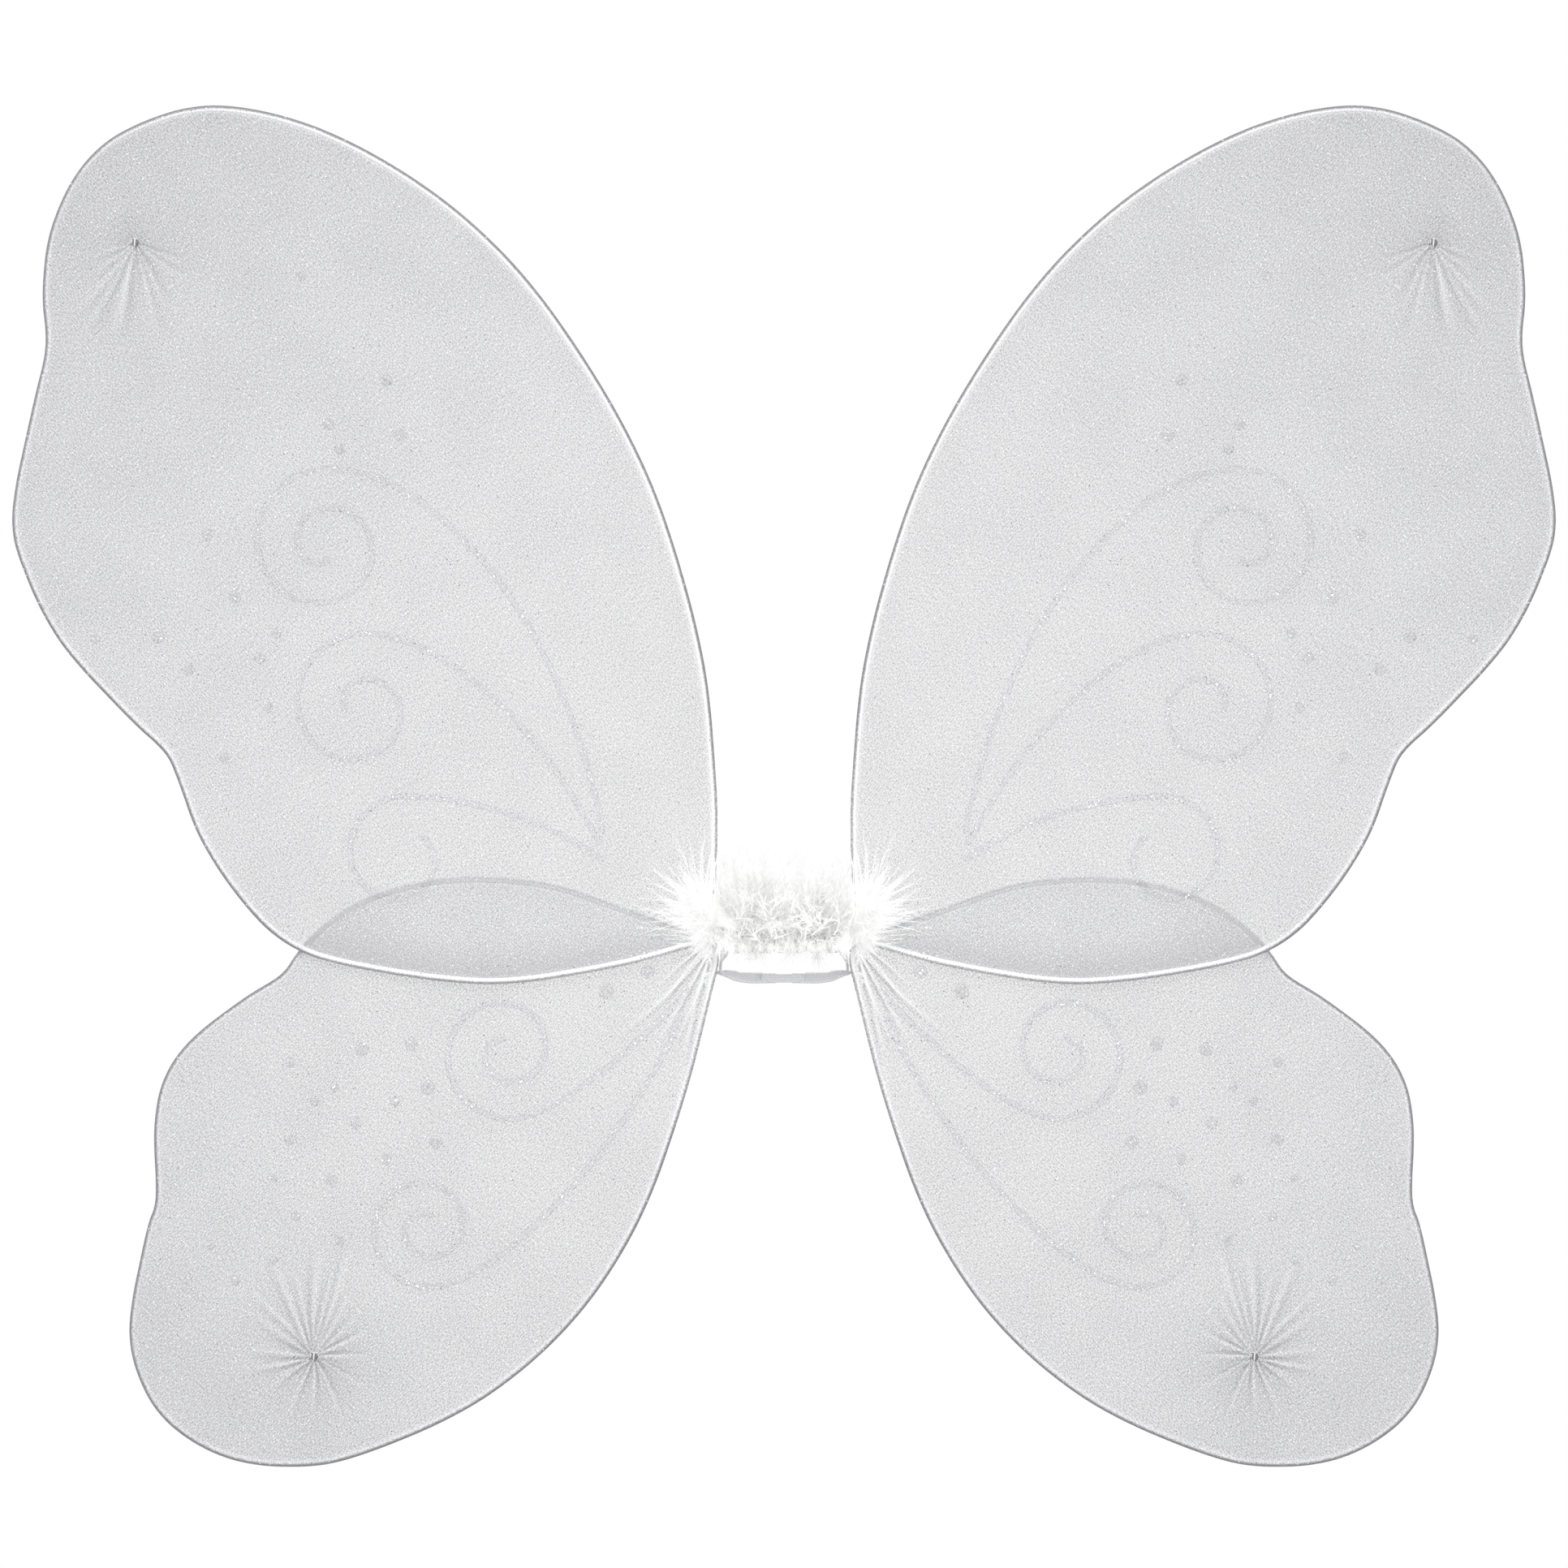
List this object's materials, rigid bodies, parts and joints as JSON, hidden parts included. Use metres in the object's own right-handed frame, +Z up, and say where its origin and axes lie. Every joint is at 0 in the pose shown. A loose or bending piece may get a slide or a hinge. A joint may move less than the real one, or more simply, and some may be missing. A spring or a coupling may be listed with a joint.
{
  "type": "costume fairy wings",
  "caption": "Sheer white fairy wings on wire loops with glitter swirls, a feathered middle, a felt back pad and elastic arm loops.",
  "frame": {"origin": "middle of the felt pad's rear face, which rests on the wearer's back", "axes": "+X along the span to the right as seen from the feathered side, +Y towards the wearer, +Z up"},
  "size_m": [0.561, 0.1562, 0.495],
  "materials": {
    "coated_wire": "satin white plastic coating",
    "nylon": "sheer knitted nylon",
    "thread": "wound polyester thread",
    "glitter": "dried glue with glitter flakes",
    "tape": "white cloth tape",
    "felt": "pressed white felt",
    "marabou": "white marabou down",
    "elastic": "braided elastic"
  },
  "bodies": {
    "core": {"wire_tails": "coated_wire", "tape_wrap": "tape", "back_pad": "felt", "marabou_boa": "marabou", "strap_bridge": "elastic", "strap_tabs": "elastic", "bartacks": "thread"},
    "left_root": {"left_root_binding": "thread", "left_root_tuft": "marabou"},
    "left_strap_body": {"left_strap": "elastic"},
    "left_upper_wing": {"left_upper_wire": "coated_wire", "left_upper_sleeve": "nylon", "left_upper_tie": "thread", "left_upper_swirls": "glitter", "left_upper_dots": "glitter"},
    "left_lower_wing": {"left_lower_wire": "coated_wire", "left_lower_sleeve": "nylon", "left_lower_tie": "thread", "left_lower_swirls": "glitter", "left_lower_dots": "glitter"},
    "right_root": {"right_root_binding": "thread", "right_root_tuft": "marabou"},
    "right_strap_body": {"right_strap": "elastic"},
    "right_upper_wing": {"right_upper_wire": "coated_wire", "right_upper_sleeve": "nylon", "right_upper_tie": "thread", "right_upper_swirls": "glitter", "right_upper_dots": "glitter"},
    "right_lower_wing": {"right_lower_wire": "coated_wire", "right_lower_sleeve": "nylon", "right_lower_tie": "thread", "right_lower_swirls": "glitter", "right_lower_dots": "glitter"}
  },
  "joints": [
    {"name": "left_fold", "type": "hinge", "parent": "core", "child": "left_root", "pos_m": [-0.0245, -0.008, -0.004], "axis": [0, 0, 1], "range_deg": [-15, 75], "deforming": ["left_root_tuft"]},
    {"name": "right_fold", "type": "hinge", "parent": "core", "child": "right_root", "pos_m": [0.0245, -0.008, -0.004], "axis": [0, 0, -1], "range_deg": [-15, 75], "deforming": ["right_root_tuft"]},
    {"name": "left_upper_spread", "type": "hinge", "parent": "left_root", "child": "left_upper_wing", "pos_m": [-0.0245, -0.008, -0.004], "axis": [0, 1, 0], "range_deg": [-6, 6]},
    {"name": "left_lower_spread", "type": "hinge", "parent": "left_root", "child": "left_lower_wing", "pos_m": [-0.0245, -0.008, -0.004], "axis": [0, 1, 0], "range_deg": [-6, 6]},
    {"name": "right_upper_spread", "type": "hinge", "parent": "right_root", "child": "right_upper_wing", "pos_m": [0.0245, -0.008, -0.004], "axis": [0, -1, 0], "range_deg": [-6, 6]},
    {"name": "right_lower_spread", "type": "hinge", "parent": "right_root", "child": "right_lower_wing", "pos_m": [0.0245, -0.008, -0.004], "axis": [0, -1, 0], "range_deg": [-6, 6]},
    {"name": "left_strap_swing", "type": "hinge", "parent": "core", "child": "left_strap_body", "pos_m": [-0.0158, 0.00295, -0.0173], "axis": [1, 0, 0], "range_deg": [-75, 70]},
    {"name": "right_strap_swing", "type": "hinge", "parent": "core", "child": "right_strap_body", "pos_m": [0.0158, 0.00295, -0.0173], "axis": [1, 0, 0], "range_deg": [-75, 70]}
  ]
}
